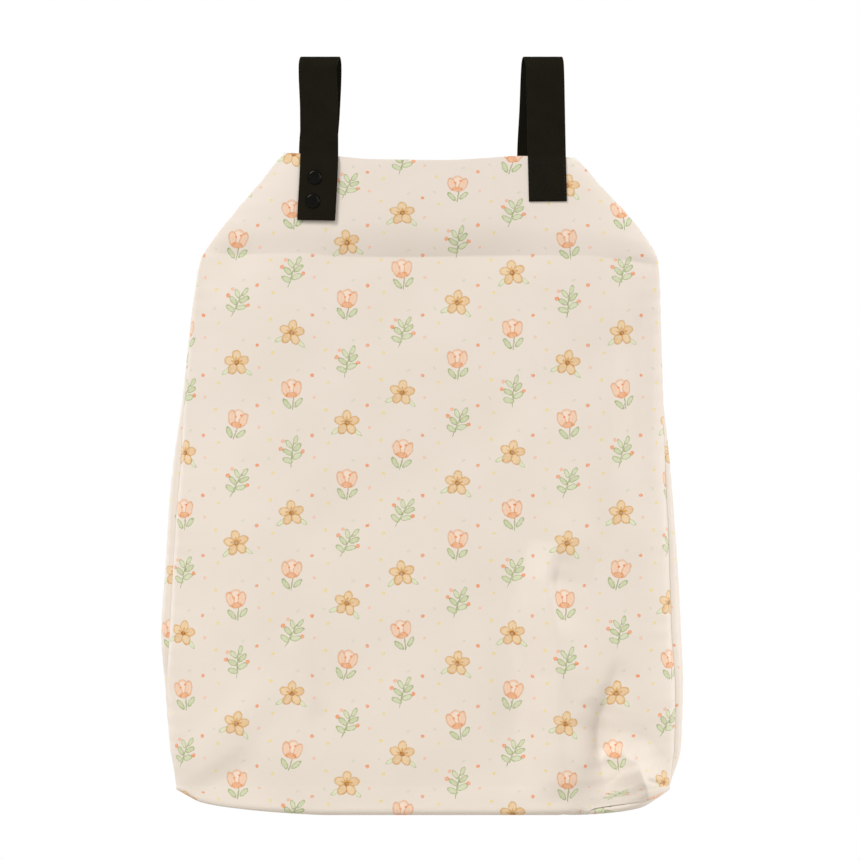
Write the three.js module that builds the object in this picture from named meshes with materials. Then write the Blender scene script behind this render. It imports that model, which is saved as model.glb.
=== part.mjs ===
// A hanging laundry bag: two cloth panels sewn into a soft pouch with sloped shoulders, an open mouth
// and boxed lower corners, carried by two loops of flat webbing that hang over a rail.
// The left loop's front end is held by two press studs, and every other end is sewn down.
// Millimetres, +Z up, X to the right, the front faces -Y. The origin is on the rail's top line, midway
// between the loops, where the webbing rests.
import * as THREE from "three";

// The cloth body
const BODY_HEIGHT = 660; // from the rim's higher corner to the base
const HALF_WIDTH = 262; // what the table of sections calls one across
const BELLY_DEPTH = 84; // front to back at the fullest section
const WALL = 1.2; // laminated cloth
const SEAM_GAP = 0.8; // between the two panels, front to back
const RIM_BELOW_RAIL = 94; // the rim's higher corner below the rail's top line
const RIM_SAG = 8.5; // how far the mouth's edge hangs below its higher corner
const RIM_SAG_REACH = 70; // how far down the cloth that sag fades out
const BASE_ROUND = 27; // height of the rounded turn under the bag
const CORNER_LIFT = 22; // how far the lower corners stand above the base
const SEAM_LAP = 8; // how far the back panel comes round to the front at most
const SEAM_PINCH = 2.4; // how deep a side seam sits in the cloth
const SEAM_PINCH_REACH = 9; // how far from the seam the cloth has recovered
const FOLD_HEIGHT = 10; // the tallest fold
const FOLD_REACH = 60; // the widest flank of a fold

// The webbing loops
const STRAP_WIDTH = 38;
const STRAP_THICK = 1.4;
const STRAP_CLEARANCE = 0.4; // between webbing and cloth
const RAIL_RADIUS = 11; // the rail that the loops are shaped round
const STUDDED_OVERLAP = 69; // webbing below the rim at the studded end
const SEWN_OVERLAP = 50; // webbing below the rim at a sewn end

// The press studs
const SNAP_RADIUS = 7.4;
const SNAP_DOME = 2.4;
const SNAP_POST_RADIUS = 5;
const SNAP_POST_THICK = 2;
const SNAP_CLEARANCE = 0.35;
const SNAP_SPACING = 23.2;
const SNAP_FROM_END = 20; // the lower stud from the strap's end
const SNAP_ASIDE = -2.2; // the studs from the middle of the webbing
const SNAP_SIDES = 20;
const STAND_OFF_RISE = 12; // how far below the rim the webbing leaves the cloth for the posts

// How finely the soft pieces are faceted
const FRONT_COLUMNS = 36;
const BACK_COLUMNS = 24;
const PANEL_ROWS = 36; // shared, so that the two edges of a seam follow each other
const BASE_ROWS_SHARE = 0.14; // of a panel's rows, how many lie in the rounded base
const STRAP_COLUMNS = 3;
const STRAP_ROWS = 46;
const SIDE_CROWDING = 1.15; // how much wider the columns are in the flat middle than at the turned sides

// Sections of the body from the rim to where the base turns under. down is a share of BODY_HEIGHT,
// left and right of HALF_WIDTH, front and back of half of BELLY_DEPTH, and the laps of SEAM_LAP.
// square is the exponent of the section: 2 is an ellipse, and a large one has a flat front.
const SECTIONS = [
  { down: 0.0, left: 0.53, right: 0.53, front: 0.46, back: 0.46, square: 2.0, leftLap: 0, rightLap: 0 },
  { down: 0.01, left: 0.57, right: 0.575, front: 0.48, back: 0.47, square: 2.1, leftLap: 0, rightLap: 0 },
  { down: 0.04, left: 0.641, right: 0.645, front: 0.52, back: 0.5, square: 2.3, leftLap: 0, rightLap: 0 },
  { down: 0.142, left: 0.848, right: 0.842, front: 0.6, back: 0.58, square: 3.0, leftLap: 0, rightLap: 0 },
  { down: 0.162, left: 0.876, right: 0.866, front: 0.62, back: 0.6, square: 3.2, leftLap: 0, rightLap: 0 },
  { down: 0.19, left: 0.889, right: 0.871, front: 0.65, back: 0.63, square: 3.4, leftLap: 0, rightLap: 0 },
  { down: 0.38, left: 0.943, right: 0.888, front: 0.8, back: 0.78, square: 4.4, leftLap: 0.1, rightLap: 0 },
  { down: 0.51, left: 0.985, right: 0.916, front: 0.91, back: 0.9, square: 5.0, leftLap: 0.72, rightLap: 0.5 },
  { down: 0.63, left: 1.005, right: 0.939, front: 0.98, back: 0.97, square: 5.4, leftLap: 0.8, rightLap: 0.8 },
  { down: 0.73, left: 1.023, right: 0.952, front: 1.0, back: 1.0, square: 5.6, leftLap: 0.75, rightLap: 1.0 },
  { down: 0.8, left: 1.01, right: 0.958, front: 1.0, back: 1.0, square: 5.7, leftLap: 0.1, rightLap: 0.9 },
  { down: 0.9, left: 0.993, right: 0.953, front: 0.96, back: 0.96, square: 5.8, leftLap: 0, rightLap: 0.6 },
  { down: 0.959, left: 0.972, right: 0.915, front: 0.9, back: 0.9, square: 6.0, leftLap: 0, rightLap: 0 },
];

// The edge of the mouth and the line of the base: across is a share of the section's half width,
// drop of RIM_SAG and lift of CORNER_LIFT.
const RIM = [
  { across: -1.0, drop: 0.0 },
  { across: -0.65, drop: 0.5 },
  { across: -0.4, drop: 0.88 },
  { across: 0.1, drop: 1.0 },
  { across: 0.39, drop: 0.75 },
  { across: 0.6, drop: 0.5 },
  { across: 1.0, drop: 0.6 },
];
const BASE = [
  { across: -1.0, lift: 1.1 },
  { across: -0.963, lift: 0.91 },
  { across: -0.9, lift: 0.58 },
  { across: -0.775, lift: 0.32 },
  { across: -0.54, lift: 0.07 },
  { across: -0.4, lift: 0.0 },
  { across: 0.6, lift: 0.0 },
  { across: 0.776, lift: 0.13 },
  { across: 0.876, lift: 0.32 },
  { across: 0.926, lift: 0.6 },
  { across: 1.0, lift: 1.1 },
];

// Folds of the front, each a line of stations. across is a share of HALF_WIDTH, down of BODY_HEIGHT,
// height of FOLD_HEIGHT (below zero for a trough), and the reaches of FOLD_REACH, to the left and to
// the right of someone who walks along the line from its first station on the cloth's outside.
const FRONT_FOLDS = [
  [ // the gutter below the turned-in facing of the mouth, sharp on its lower side
    { across: 0.58, down: 0.158, leftReach: 0.3, rightReach: 0.5, height: 0 },
    { across: 0.38, down: 0.155, leftReach: 0.3, rightReach: 0.65, height: -0.42 },
    { across: 0.0, down: 0.157, leftReach: 0.3, rightReach: 0.68, height: -0.46 },
    { across: -0.3, down: 0.157, leftReach: 0.3, rightReach: 0.65, height: -0.36 },
    { across: -0.52, down: 0.15, leftReach: 0.3, rightReach: 0.5, height: 0 },
  ],
  [ // the long soft ridge in the right half
    { across: 0.33, down: 0.45, leftReach: 0.8, rightReach: 0.6, height: 0 },
    { across: 0.4, down: 0.53, leftReach: 0.6, rightReach: 0.6, height: 0.4 },
    { across: 0.44, down: 0.6, leftReach: 0.45, rightReach: 0.6, height: 0.8 },
    { across: 0.385, down: 0.67, leftReach: 0.4, rightReach: 0.6, height: 1.0 },
    { across: 0.42, down: 0.77, leftReach: 0.5, rightReach: 0.55, height: 0.75 },
    { across: 0.43, down: 0.87, leftReach: 0.6, rightReach: 0.6, height: 0.5 },
    { across: 0.46, down: 0.97, leftReach: 0.6, rightReach: 0.6, height: 0.25 },
  ],
  [ // the dimple to the right of that ridge
    { across: 0.5, down: 0.62, leftReach: 0.35, rightReach: 0.3, height: 0 },
    { across: 0.49, down: 0.665, leftReach: 0.4, rightReach: 0.3, height: -0.35 },
    { across: 0.5, down: 0.72, leftReach: 0.35, rightReach: 0.3, height: 0 },
  ],
  [ // the crease that the right boxed corner makes
    { across: 0.75, down: 0.75, leftReach: 0.5, rightReach: 0.4, height: 0 },
    { across: 0.68, down: 0.81, leftReach: 0.4, rightReach: 0.7, height: -0.6 },
    { across: 0.65, down: 0.87, leftReach: 0.35, rightReach: 0.7, height: -0.9 },
    { across: 0.68, down: 0.91, leftReach: 0.35, rightReach: 0.6, height: -0.9 },
    { across: 0.78, down: 0.94, leftReach: 0.35, rightReach: 0.5, height: -0.7 },
    { across: 0.84, down: 0.97, leftReach: 0.35, rightReach: 0.4, height: -0.3 },
  ],
  [ // the lobe of cloth that stands out to the right of that crease
    { across: 0.82, down: 0.76, leftReach: 0.5, rightReach: 0.5, height: 0.05 },
    { across: 0.78, down: 0.85, leftReach: 0.5, rightReach: 0.5, height: 0.5 },
    { across: 0.82, down: 0.91, leftReach: 0.45, rightReach: 0.5, height: 0.6 },
    { across: 0.88, down: 0.95, leftReach: 0.4, rightReach: 0.45, height: 0.2 },
  ],
  [ // a small ridge low in the left half
    { across: -0.54, down: 0.72, leftReach: 0.5, rightReach: 0.4, height: 0 },
    { across: -0.49, down: 0.78, leftReach: 0.4, rightReach: 0.35, height: 0.35 },
    { across: -0.43, down: 0.85, leftReach: 0.5, rightReach: 0.5, height: 0 },
  ],
  [ // the trough that runs in from the left boxed corner
    { across: -0.62, down: 0.87, leftReach: 0.45, rightReach: 0.5, height: 0 },
    { across: -0.78, down: 0.92, leftReach: 0.4, rightReach: 0.45, height: -0.5 },
    { across: -0.9, down: 0.95, leftReach: 0.35, rightReach: 0.4, height: -0.5 },
  ],
];

// Folds of the back, which hangs plainly: two slack ridges down from the loops.
const BACK_FOLDS = [
  [
    { across: -0.4, down: 0.1, leftReach: 0.8, rightReach: 0.8, height: 0 },
    { across: -0.46, down: 0.45, leftReach: 0.9, rightReach: 0.9, height: 0.35 },
    { across: -0.56, down: 0.86, leftReach: 0.9, rightReach: 0.9, height: 0 },
  ],
  [
    { across: 0.38, down: 0.12, leftReach: 0.8, rightReach: 0.8, height: 0 },
    { across: 0.44, down: 0.55, leftReach: 0.9, rightReach: 0.9, height: 0.45 },
    { across: 0.5, down: 0.92, leftReach: 0.9, rightReach: 0.9, height: 0 },
  ],
];

// The two loops. across is the middle of the webbing as a share of HALF_WIDTH, station by station: its
// front end, the rim in front, halfway up, the rail, halfway down behind, and its back end.
const LOOPS = [
  {
    name: "left_strap",
    frontOverlap: STUDDED_OVERLAP,
    standOff: SNAP_POST_THICK + 2 * SNAP_CLEARANCE,
    across: [-0.435, -0.427, -0.427, -0.418, -0.414, -0.427],
  },
  {
    name: "right_strap",
    frontOverlap: SEWN_OVERLAP,
    standOff: STRAP_CLEARANCE,
    across: [0.451, 0.446, 0.44, 0.429, 0.412, 0.405],
  },
];

const HALF_DEPTH = BELLY_DEPTH / 2;
const RIM_Z = -RIM_BELOW_RAIL;
const BASE_FROM = 1 - BASE_ROUND / BODY_HEIGHT;
const RIGHT_ANGLE = Math.PI / 2;
const FLAT_STATIONS = 2 / SIDE_CROWDING - 1;
const CROWDED_RATE = SIDE_CROWDING / (2 * (1 - FLAT_STATIONS));

// The value of a table's column at a place along it, on a smooth curve that doesn't overshoot its rows.
function along(table, key, column, place) {
  const last = table.length - 1;
  if (place <= table[0][key]) return table[0][column];
  if (place >= table[last][key]) return table[last][column];
  const i = table.findIndex((row) => row[key] > place) - 1;
  const slope = (j) => (table[j + 1][column] - table[j][column]) / (table[j + 1][key] - table[j][key]);
  const tangent = (j) => {
    if (j === 0) return slope(0);
    if (j === last) return slope(last - 1);
    const before = slope(j - 1);
    const after = slope(j);
    return before * after <= 0 ? 0 : (2 * before * after) / (before + after);
  };
  const step = table[i + 1][key] - table[i][key];
  const s = (place - table[i][key]) / step;
  return (
    table[i][column] * (1 + 2 * s) * (1 - s) ** 2 +
    table[i + 1][column] * s * s * (3 - 2 * s) +
    step * s * (1 - s) * (tangent(i) * (1 - s) - tangent(i + 1) * s)
  );
}

function smooth(low, high, x) {
  return THREE.MathUtils.smoothstep(x, low, high);
}

// A station counts outwards from the middle of a side (0) to its turn (1), and a share is how far
// across the section that lies. The stations crowd evenly where the section turns.
function shareAt(station) {
  if (station <= FLAT_STATIONS) return SIDE_CROWDING * station;
  return 1 - CROWDED_RATE * (1 - station) ** 2;
}

function stationAt(share) {
  if (share <= SIDE_CROWDING * FLAT_STATIONS) return share / SIDE_CROWDING;
  return 1 - Math.sqrt(Math.max(0, 1 - share) / CROWDED_RATE);
}

function halfWidthAt(hand, down) {
  return along(SECTIONS, "down", hand > 0 ? "right" : "left", down) * HALF_WIDTH;
}

function rimDropAt(share, down) {
  return RIM_SAG * along(RIM, "across", "drop", share) * (1 - smooth(0, RIM_SAG_REACH, down * BODY_HEIGHT));
}

// The height of the folds at a place on the cloth, in mm outwards.
function foldHeight(folds, x, z) {
  let sum = 0;
  for (const fold of folds) {
    let best = null;
    for (let i = 0; i + 1 < fold.length; i++) {
      const [a, b] = [fold[i], fold[i + 1]];
      const ax = a.across * HALF_WIDTH;
      const az = RIM_Z - a.down * BODY_HEIGHT;
      const bx = b.across * HALF_WIDTH - ax;
      const bz = RIM_Z - b.down * BODY_HEIGHT - az;
      const s = THREE.MathUtils.clamp(((x - ax) * bx + (z - az) * bz) / (bx * bx + bz * bz), 0, 1);
      const away = Math.hypot(x - ax - s * bx, z - az - s * bz);
      if (best && away >= best.away) continue;
      const mix = (column) => THREE.MathUtils.lerp(a[column], b[column], s * s * (3 - 2 * s));
      const reach = mix(bx * (z - az) > bz * (x - ax) ? "leftReach" : "rightReach") * FOLD_REACH;
      best = { away, reach, height: mix("height") };
    }
    const near = Math.max(0, 1 - (best.away / best.reach) ** 2);
    sum += best.height * FOLD_HEIGHT * near * near;
  }
  return sum;
}

// A point of the soft skin without folds. turn goes round the bag: 0 is the front's middle, 1 the
// right side, -1 the left side, 2 and -2 the back's middle. girth goes down it: 0 is the rim, 1 where
// the base begins to turn under, and 2 the bottom's lowest line.
function skinPoint(turn, girth) {
  const round = Math.abs(turn) > 2 ? turn - 4 * Math.sign(turn) : turn;
  const hand = Math.sign(round) || 1;
  const inFront = Math.abs(round) <= 1;
  const share = shareAt(inFront ? Math.abs(round) : 2 - Math.abs(round));
  const angle = Math.max(0, girth - 1) * RIGHT_ANGLE;
  const down = Math.min(1, Math.max(0, girth)) * BASE_FROM;
  const lift = CORNER_LIFT * along(BASE, "across", "lift", hand * share);
  const turned = (BASE_ROUND - lift) * Math.sin(angle);
  const section = Math.sqrt(Math.max(0, 1 - share ** along(SECTIONS, "down", "square", down)));
  const depth = along(SECTIONS, "down", inFront ? "front" : "back", down) * HALF_DEPTH;
  return new THREE.Vector3(
    hand * share * halfWidthAt(hand, down),
    (inFront ? -1 : 1) * depth * section * Math.cos(angle),
    RIM_Z - down * BODY_HEIGHT - turned - rimDropAt(hand * share, down),
  );
}

// The unit normal of a surface pointAt(a, b) whose a runs round the bag rightwards and b down it.
function normalOf(pointAt, a, b) {
  const step = 1e-3;
  const round = pointAt(a + step, b).sub(pointAt(a - step, b));
  const downwards = pointAt(a, b + step).sub(pointAt(a, Math.max(0, b - step)));
  return downwards.cross(round).normalize();
}

// Where the side seam lies round the bag at a height, as a turn without its sign.
function seamTurn(hand, girth) {
  const down = Math.min(1, Math.max(0, girth)) * BASE_FROM;
  const lap = along(SECTIONS, "down", hand > 0 ? "rightLap" : "leftLap", down) * SEAM_LAP;
  return stationAt(1 - lap / halfWidthAt(hand, down));
}

// The finished cloth's middle surface: the skin with its folds and with the side seams pinched in.
function clothPoint(turn, girth) {
  const point = skinPoint(turn, girth);
  const hand = Math.sign(turn) || 1;
  const inBase = Math.max(0, girth - 1);
  const normal = normalOf(skinPoint, turn, Math.min(girth, 1.9));
  const folds = Math.abs(turn) <= 1 ? FRONT_FOLDS : BACK_FOLDS;
  const foldFade = smooth(0, 0.12, Math.abs(Math.abs(turn) - 1)) * (1 - smooth(0, 0.95, inBase));
  const fromSeam = skinPoint(hand * seamTurn(hand, girth), girth).distanceTo(point) / SEAM_PINCH_REACH;
  const pinchFade = smooth(0, 0.05, girth) * (1 - smooth(0, 0.6, inBase));
  const pinch = SEAM_PINCH * Math.exp(-fromSeam * fromSeam) * pinchFade;
  return point.addScaledVector(normal, foldHeight(folds, point.x, point.z) * foldFade - pinch);
}

// The cloth's middle surface and its normal behind a place seen from the front.
function clothAt(x, z, side) {
  const hand = Math.sign(x) || 1;
  let down = (RIM_Z - z) / BODY_HEIGHT;
  let share = 0;
  for (let pass = 0; pass < 8; pass++) {
    share = Math.abs(x) / halfWidthAt(hand, down);
    down = (RIM_Z - z - rimDropAt(hand * share, down)) / BODY_HEIGHT;
  }
  const station = stationAt(share);
  const turn = hand * (side === "front" ? station : 2 - station);
  const girth = Math.max(0, down) / BASE_FROM;
  return { point: clothPoint(turn, girth), normal: normalOf(clothPoint, turn, girth) };
}

// A closed thin sheet made from a flat box: every corner of the box's faces is carried to
// pointAt(u, v, w), where u and v run from -1 to 1 over the sheet and w from -0.5 to 0.5 through it.
function sheet(columns, rows, pointAt) {
  const geometry = new THREE.BoxGeometry(2, 2, 1, columns, rows, 1);
  const position = geometry.getAttribute("position");
  for (let i = 0; i < position.count; i++) {
    const place = pointAt(position.getX(i), position.getY(i), position.getZ(i));
    position.setXYZ(i, place.x, place.y, place.z);
  }
  geometry.computeVertexNormals();
  return geometry;
}

// The front or the back of the bag, out to the side seams. v is 1 at the rim and -1 at the seam
// under the base.
function panel(side, columns) {
  const facing = side === "front" ? -1 : 1;
  const wallRows = 1 - BASE_ROWS_SHARE;
  return sheet(columns, PANEL_ROWS, (u, v, w) => {
    const row = (1 - v) / 2;
    const girth = row < wallRows ? row / wallRows : 1 + (row - wallRows) / BASE_ROWS_SHARE;
    const hand = -facing * (Math.sign(u) || 1);
    const edge = seamTurn(hand, girth);
    const turn = hand * (side === "front" ? Math.abs(u) * edge : 2 - Math.abs(u) * (2 - edge));
    const normal = normalOf(clothPoint, turn, Math.min(girth, 1.97));
    const place = clothPoint(turn, girth).addScaledVector(normal, w * WALL);
    place.y += (facing * SEAM_GAP) / 2;
    return place;
  });
}

// A loop of webbing. v is -1 at its front end and 1 at its back end.
function strap(loop) {
  const free = RIM_BELOW_RAIL - RAIL_RADIUS;
  const bend = Math.PI * (RAIL_RADIUS + STRAP_THICK / 2);
  const lengths = [0, loop.frontOverlap, free / 2, free / 2 + bend / 2, free / 2 + bend / 2, free / 2 + SEWN_OVERLAP];
  let total = 0;
  const stations = loop.across.map((across, i) => {
    total += lengths[i];
    return { at: total, across };
  });
  return sheet(STRAP_COLUMNS, STRAP_ROWS, (u, v, w) => {
    const at = ((1 + v) / 2) * total;
    const x = along(stations, "at", "across", at) * HALF_WIDTH + (u * STRAP_WIDTH) / 2;
    const fromBend = at - loop.frontOverlap - free;
    const layer = STRAP_THICK * (0.5 + w);
    if (fromBend > 0 && fromBend < bend) {
      const angle = fromBend / (RAIL_RADIUS + STRAP_THICK / 2);
      const radius = RAIL_RADIUS + layer;
      return new THREE.Vector3(x, -Math.cos(angle) * radius, Math.sin(angle) * radius - RAIL_RADIUS);
    }
    const inFront = fromBend <= 0;
    const facing = inFront ? -1 : 1;
    const z = -RAIL_RADIUS - Math.max(-fromBend, fromBend - bend);
    const standOff = inFront ? loop.standOff : STRAP_CLEARANCE;
    const lifted = THREE.MathUtils.lerp(standOff, STRAP_CLEARANCE, smooth(-STAND_OFF_RISE, 0, z - RIM_Z));
    const { point, normal } = clothAt(x, Math.min(z, RIM_Z), inFront ? "front" : "back");
    const restY = point.y + (WALL / 2 + lifted + layer) / normal.y + (facing * SEAM_GAP) / 2;
    const railY = facing * (RAIL_RADIUS + layer);
    return new THREE.Vector3(x, THREE.MathUtils.lerp(restY, railY, smooth(RIM_Z, -RAIL_RADIUS, z)), z);
  });
}

// A round piece of a press stud from its profile of radius and height, standing on +Z.
function round(profile) {
  const points = profile.map(([radius, height]) => new THREE.Vector2(radius, height));
  return new THREE.LatheGeometry(points, SNAP_SIDES).rotateX(RIGHT_ANGLE);
}

const CAP_PROFILE = [
  [0, 0],
  [SNAP_RADIUS - 0.5, 0],
  [SNAP_RADIUS, 0.45],
  [SNAP_RADIUS - 0.35, 0.95],
  [SNAP_RADIUS * 0.82, SNAP_DOME * 0.68],
  [SNAP_RADIUS * 0.5, SNAP_DOME * 0.92],
  [0, SNAP_DOME],
];
const POST_PROFILE = [
  [0, 0],
  [SNAP_POST_RADIUS, 0],
  [SNAP_POST_RADIUS, SNAP_POST_THICK],
  [0, SNAP_POST_THICK],
];

const cloth = new THREE.MeshStandardMaterial({ name: "laminated_cloth", color: 0xebdfd0, roughness: 0.6 });
const webbing = new THREE.MeshStandardMaterial({ name: "black_webbing", color: 0x222017, roughness: 0.85 });
const resin = new THREE.MeshStandardMaterial({ name: "stud_resin", color: 0x15120c, roughness: 0.35 });

const bag = new THREE.Group();
function add(name, geometry, material) {
  const mesh = new THREE.Mesh(geometry, material);
  mesh.name = name;
  bag.add(mesh);
  return mesh;
}

add("front_panel", panel("front", FRONT_COLUMNS), cloth);
add("back_panel", panel("back", BACK_COLUMNS), cloth);
for (const loop of LOOPS) {
  add(loop.name, strap(loop), webbing);
}

// A press stud at a height above the studded end: the post stands square on the cloth, and the cap
// lies on the outside of the webbing.
function addStud(name, rise) {
  const [loop] = LOOPS;
  const across = THREE.MathUtils.lerp(loop.across[0], loop.across[1], rise / loop.frontOverlap);
  const x = across * HALF_WIDTH + SNAP_ASIDE;
  const { point, normal } = clothAt(x, RIM_Z - loop.frontOverlap + rise, "front");
  const square = new THREE.Quaternion().setFromUnitVectors(new THREE.Vector3(0, 0, 1), normal);
  const foot = point.addScaledVector(normal, WALL / 2 + SNAP_CLEARANCE);
  foot.y -= SEAM_GAP / 2;
  const post = add(`snap_post_${name}`, round(POST_PROFILE), resin);
  post.quaternion.copy(square);
  post.position.copy(foot);
  const cap = add(`snap_cap_${name}`, round(CAP_PROFILE), resin);
  cap.quaternion.copy(square);
  cap.position.copy(foot).addScaledVector(normal, SNAP_POST_THICK + STRAP_THICK + 2 * SNAP_CLEARANCE);
}

addStud("lower", SNAP_FROM_END);
addStud("upper", SNAP_FROM_END + SNAP_SPACING);

export default bag;
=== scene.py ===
# %% [markdown]
# # A hanging laundry bag
#
# This lesson dresses a soft bag in Blender. The hard frame comes from the CAD model: the height of the
# rail, the size of the pouch and the places of the two webbing loops. Blender adds what the eye reads as
# cloth: the fine folds, the turned hem, the seams, the printed pattern and the ribbed webbing.

# %% Load the frame
import math

import bmesh
import bpy
import numpy as np
from mathutils import Matrix, Vector


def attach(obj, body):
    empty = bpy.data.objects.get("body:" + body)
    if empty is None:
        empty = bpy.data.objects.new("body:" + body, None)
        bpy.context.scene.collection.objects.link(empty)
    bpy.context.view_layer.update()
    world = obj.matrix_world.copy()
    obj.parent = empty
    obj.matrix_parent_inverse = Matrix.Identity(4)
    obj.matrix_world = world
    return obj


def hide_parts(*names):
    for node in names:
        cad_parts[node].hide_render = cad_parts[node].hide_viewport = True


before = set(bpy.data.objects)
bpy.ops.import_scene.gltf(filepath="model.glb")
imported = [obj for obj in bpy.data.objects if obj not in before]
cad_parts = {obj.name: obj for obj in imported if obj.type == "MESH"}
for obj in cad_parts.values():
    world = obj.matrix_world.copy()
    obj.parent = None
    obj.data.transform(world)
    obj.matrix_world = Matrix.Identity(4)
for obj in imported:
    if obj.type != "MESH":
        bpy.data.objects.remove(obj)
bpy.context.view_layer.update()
MM = 0.001

# %% [markdown]
# ## Colours and nodes
#
# Colours are written as they are picked on a screen, in sRGB, but Blender's shaders add up light, so they
# want linear values. One function does the change. A second one adds a node, sets it and links it,
# which keeps every material below to one call a node.

# %% Helpers for materials
def linear(hex_colour):
    channels = [int(hex_colour[i:i + 2], 16) / 255 for i in (1, 3, 5)]
    return (*[c / 12.92 if c <= 0.04045 else ((c + 0.055) / 1.055) ** 2.4 for c in channels], 1.0)


def add_node(tree, kind, settings=None, inputs=None):
    """Add a node, set its properties, and fill its inputs with values or with other nodes' outputs."""
    node = tree.nodes.new(kind)
    for name, value in (settings or {}).items():
        setattr(node, name, value)
    for key, value in (inputs or {}).items():
        if isinstance(value, bpy.types.NodeSocket):
            tree.links.new(value, node.inputs[key])
        else:
            node.inputs[key].default_value = value
    return node


def new_material(name):
    material = bpy.data.materials.new(name)
    material.use_nodes = True
    material.node_tree.nodes.clear()
    return material, material.node_tree


def add_object(name, bm, material, smooth_faces=True):
    """Turn a finished bmesh into an object at the origin."""
    mesh = bpy.data.meshes.new(name)
    bm.to_mesh(mesh)
    bm.free()
    mesh.materials.append(material)
    for polygon in mesh.polygons:
        polygon.use_smooth = smooth_faces
    piece = bpy.data.objects.new(name, mesh)
    bpy.context.scene.collection.objects.link(piece)
    print(name, "has", len(mesh.polygons), "faces")
    return piece


print("a cream in linear light:", [round(c, 3) for c in linear("#E9DED1")])

# %% [markdown]
# ## The studio
#
# The photograph shows the bag straight from the front on white paper, so the camera looks level along +Y.
# A long lens from eight metres keeps the two sides of the bag parallel. Its focal length is worked out so
# that one millimetre at the bag is one pixel of an 860 pixel picture. The bag hangs, so the floor lies a
# little below it and ends where the camera would begin to see it. It is a very pale grey and not white,
# because a white floor throws so much light back up that it fills the shadows under the folds.

# %% Camera
CAMERA_DISTANCE = 8.0
CAMERA_HEIGHT = -0.372
PICTURE_WIDTH = 0.86
SENSOR = 36.0

camera_data = bpy.data.cameras.new("photo_camera")
camera_data.sensor_width = SENSOR
camera_data.lens = SENSOR * CAMERA_DISTANCE / PICTURE_WIDTH
camera_data.clip_end = 50
camera = bpy.data.objects.new("photo_camera", camera_data)
camera.location = (0, -CAMERA_DISTANCE, CAMERA_HEIGHT)
camera.rotation_euler = (math.radians(90), 0, 0)
bpy.context.scene.collection.objects.link(camera)
bpy.context.scene.camera = camera
print("lens:", round(camera_data.lens, 1), "mm")

# %% Floor
FLOOR_Z = -0.90
FLOOR_RADIUS = 2.2
FLOOR_CENTRE_Y = -0.5

paper, tree = new_material("studio_paper")
shader = add_node(tree, "ShaderNodeBsdfPrincipled", inputs={
    "Base Color": linear("#D3D1CE"), "Roughness": 0.9})
add_node(tree, "ShaderNodeOutputMaterial", inputs={"Surface": shader.outputs["BSDF"]})
bm = bmesh.new()
bmesh.ops.create_circle(bm, cap_ends=True, segments=96, radius=FLOOR_RADIUS)
bmesh.ops.translate(bm, verts=bm.verts, vec=(0, FLOOR_CENTRE_Y, FLOOR_Z))
floor = add_object("studio_floor", bm, paper, smooth_faces=False)

# %% [markdown]
# The light is the soft, even light of a product studio. Sun lamps with a wide angle give it, because a
# sun lights the top and the bottom of a tall bag equally, where a lamp close by would fade down the
# cloth. The key comes from the upper left, so that a fold's lower side falls dark. Two lamps a little
# behind the sides draw the light rims along the bag's edges and leave the flat front alone, and two more
# light the back for whoever walks round it. What the camera sees behind the bag is plain white, while
# the cloth itself is lit by a dimmer surround, which keeps some depth in the folds.

# %% Lights
LIGHTS = [
    # name, degrees to the right of the camera, degrees up, strength, degrees wide
    ("key", -40, 43, 1.81, 22),
    ("fill", 20, 22, 0.76, 30),
    ("left_rim", -122, 6, 0.95, 26),
    ("right_rim", 98, 8, 1.75, 26),
    ("back_left", -152, 24, 0.55, 30),
    ("back_right", 148, 10, 0.32, 30),
]
SURROUND = 0.315
LAMP_DISTANCE = 4.0  # only shows where a lamp stands: a sun shines the same from any distance

for name, azimuth, elevation, strength, width in LIGHTS:
    light_data = bpy.data.lights.new(name, "SUN")
    light_data.energy = strength
    light_data.angle = math.radians(width)
    light = bpy.data.objects.new(name, light_data)
    azimuth, elevation = math.radians(azimuth), math.radians(elevation)
    comes_from = Vector((math.sin(azimuth) * math.cos(elevation),
                         -math.cos(azimuth) * math.cos(elevation), math.sin(elevation)))
    light.location = comes_from * LAMP_DISTANCE
    light.rotation_euler = (-comes_from).to_track_quat("-Z", "Y").to_euler()
    bpy.context.scene.collection.objects.link(light)

world = bpy.data.worlds.new("white_surround")
world.use_nodes = True
world.node_tree.nodes.clear()
tree = world.node_tree
surround = add_node(tree, "ShaderNodeBackground", inputs={"Color": (1, 1, 1, 1), "Strength": SURROUND})
backdrop = add_node(tree, "ShaderNodeBackground", inputs={"Color": (1, 1, 1, 1), "Strength": 1.0})
rays = add_node(tree, "ShaderNodeLightPath")
seen = add_node(tree, "ShaderNodeMixShader", inputs={
    0: rays.outputs["Is Camera Ray"], 1: surround.outputs[0], 2: backdrop.outputs[0]})
add_node(tree, "ShaderNodeOutputWorld", inputs={"Surface": seen.outputs[0]})
bpy.context.scene.world = world
bpy.context.scene.view_settings.view_transform = "Standard"
print("lights:", [row[0] for row in LIGHTS])

# %% [markdown]
# ## The shape of the pouch
#
# A sewn bag is easiest to describe as a stack of level sections. Each row of the table below gives one
# section's half widths, depths and how square it is, as shares of the whole bag. A smooth curve runs
# through the rows, so that the same few numbers serve a coarse CAD solid and this fine mesh.

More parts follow.
